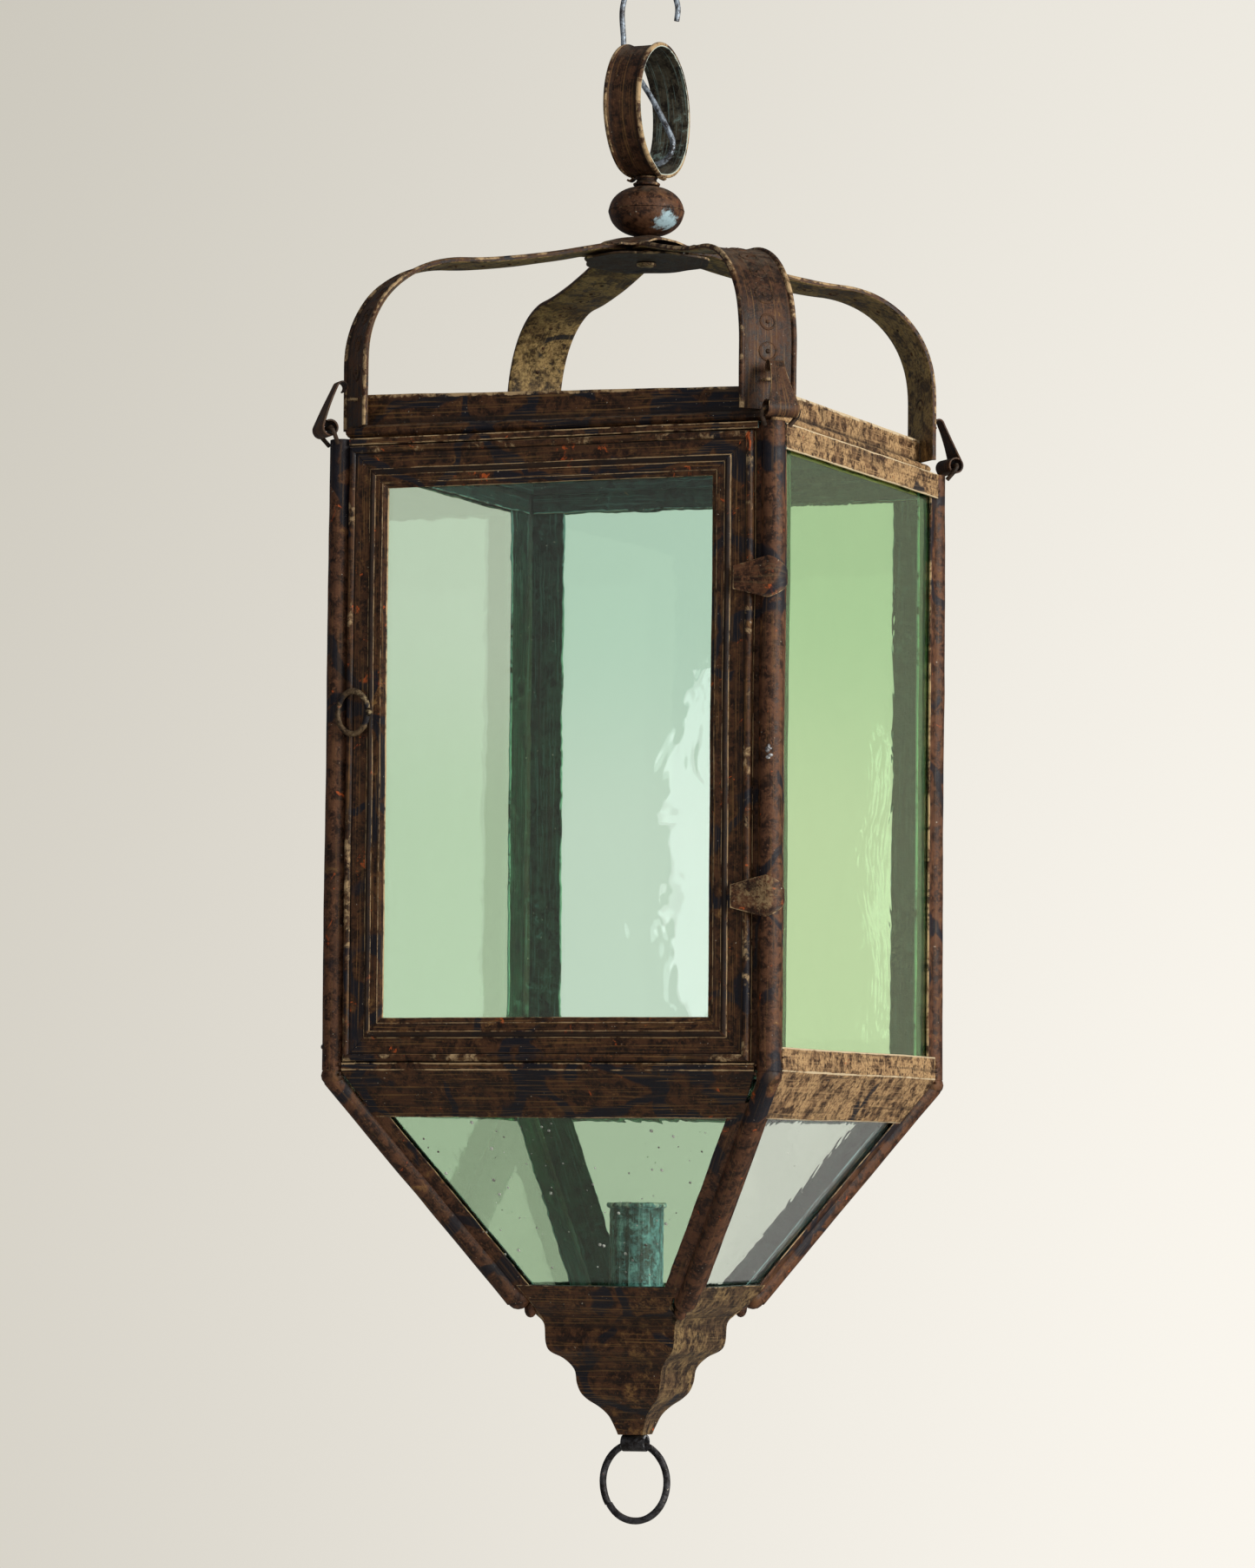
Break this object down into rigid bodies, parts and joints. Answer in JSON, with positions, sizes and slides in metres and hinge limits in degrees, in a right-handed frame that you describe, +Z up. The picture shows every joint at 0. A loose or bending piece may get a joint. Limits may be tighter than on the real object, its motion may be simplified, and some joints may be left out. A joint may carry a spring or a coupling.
{
  "type": "hanging lantern",
  "caption": "Hanging tin lantern with a square glazed body, hinged door, tapered glazed hopper, candle cup, strap-arm crown, hanging ring and a drop ring.",
  "frame": {"origin": "the hanging point, at the inside top of the hanging ring", "axes": "+Z up, -Y out of the door, +X to the side with the door hinge"},
  "size_m": [0.255, 0.255, 0.7734],
  "materials": {
    "tin": "old brown and ochre marbled paint on tin, worn at the edges",
    "door_tin": "darker brown brushed paint on tin with rust-red flecks",
    "inner_tin": "dull grey-green tin inside the glass",
    "wire": "dark worn iron wire",
    "glass": "pale green old window glass with waves and seeds"
  },
  "bodies": {
    "lantern": {"post_back_right": "tin", "post_back_left": "tin", "post_front_left": "tin", "post_front_right": "tin", "top_rail_right": "tin", "top_rail_back": "tin", "top_rail_left": "tin", "top_rail_front": "tin", "bottom_rail_right": "tin", "bottom_rail_back": "tin", "bottom_rail_left": "tin", "bottom_rail_front": "tin", "pane_right": "glass", "pane_back": "glass", "pane_left": "glass", "hopper_rib_back_right": "tin", "hopper_rib_back_left": "tin", "hopper_rib_front_left": "tin", "hopper_rib_front_right": "tin", "hopper_pane_right": "glass", "hopper_pane_back": "glass", "hopper_pane_left": "glass", "hopper_pane_front": "glass", "finial_plate_right": "tin", "finial_plate_back": "tin", "finial_plate_left": "tin", "finial_plate_front": "tin", "candle_tray": "inner_tin", "candle_cup": "inner_tin", "ring_staple": "wire", "crown_band": "tin", "crown_arm_back_right": "tin", "crown_arm_back_left": "tin", "crown_arm_front_left": "tin", "crown_arm_front_right": "tin", "hub_plate": "tin", "hub_cap": "tin", "ball_lower": "tin", "ball_upper": "tin", "spindle": "tin", "hanging_ring": "tin", "clasp_pin_back_right": "tin", "clasp_pin_back_left": "tin", "clasp_pin_front_left": "tin", "clasp_pin_front_right": "tin"},
    "door": {"door_stile_hinge": "door_tin", "door_stile_latch": "door_tin", "door_rail_top": "door_tin", "door_rail_bottom": "door_tin", "door_pane": "glass", "hinge_strap_lower": "tin", "hinge_strap_upper": "tin"},
    "door_pull": {"door_pull": "tin"},
    "bottom_ring": {"bottom_ring": "wire"},
    "hook": {"hook": "wire"},
    "clasp_back_right": {"clasp_link_back_right": "tin"},
    "clasp_back_left": {"clasp_link_back_left": "tin"},
    "clasp_front_left": {"clasp_link_front_left": "tin"},
    "clasp_front_right": {"clasp_link_front_right": "tin"}
  },
  "joints": [
    {"name": "door_hinge", "type": "hinge", "parent": "lantern", "child": "door", "pos_m": [0.113, -0.113, -0.3594], "axis": [0, 0, 1], "range_deg": [0, 105]},
    {"name": "pull_turn", "type": "hinge", "parent": "door", "child": "door_pull", "pos_m": [-0.09365, -0.11875, -0.3404], "axis": [0, 1, 0], "range_deg": [-80, 80]},
    {"name": "ring_swing", "type": "hinge", "parent": "lantern", "child": "bottom_ring", "pos_m": [0, 0, -0.6967], "axis": [1, 0, 0], "range_deg": [-75, 75]},
    {"name": "hook_lean", "type": "hinge", "parent": "lantern", "child": "hook", "pos_m": [0.005, 0, -0.0588], "axis": [0, 1, 0], "range_deg": [-14, 0]},
    {"name": "clasp_back_right_hinge", "type": "hinge", "parent": "lantern", "child": "clasp_back_right", "pos_m": [0.11919, 0.11919, -0.2014], "axis": [-0.7071, 0.7071, 0], "range_deg": [0, 135]},
    {"name": "clasp_back_left_hinge", "type": "hinge", "parent": "lantern", "child": "clasp_back_left", "pos_m": [-0.11919, 0.11919, -0.2014], "axis": [-0.7071, -0.7071, 0], "range_deg": [0, 135]},
    {"name": "clasp_front_left_hinge", "type": "hinge", "parent": "lantern", "child": "clasp_front_left", "pos_m": [-0.11919, -0.11919, -0.2014], "axis": [0.7071, -0.7071, 0], "range_deg": [0, 135]},
    {"name": "clasp_front_right_hinge", "type": "hinge", "parent": "lantern", "child": "clasp_front_right", "pos_m": [0.11919, -0.11919, -0.2014], "axis": [0.7071, 0.7071, 0], "range_deg": [0, 135]}
  ]
}
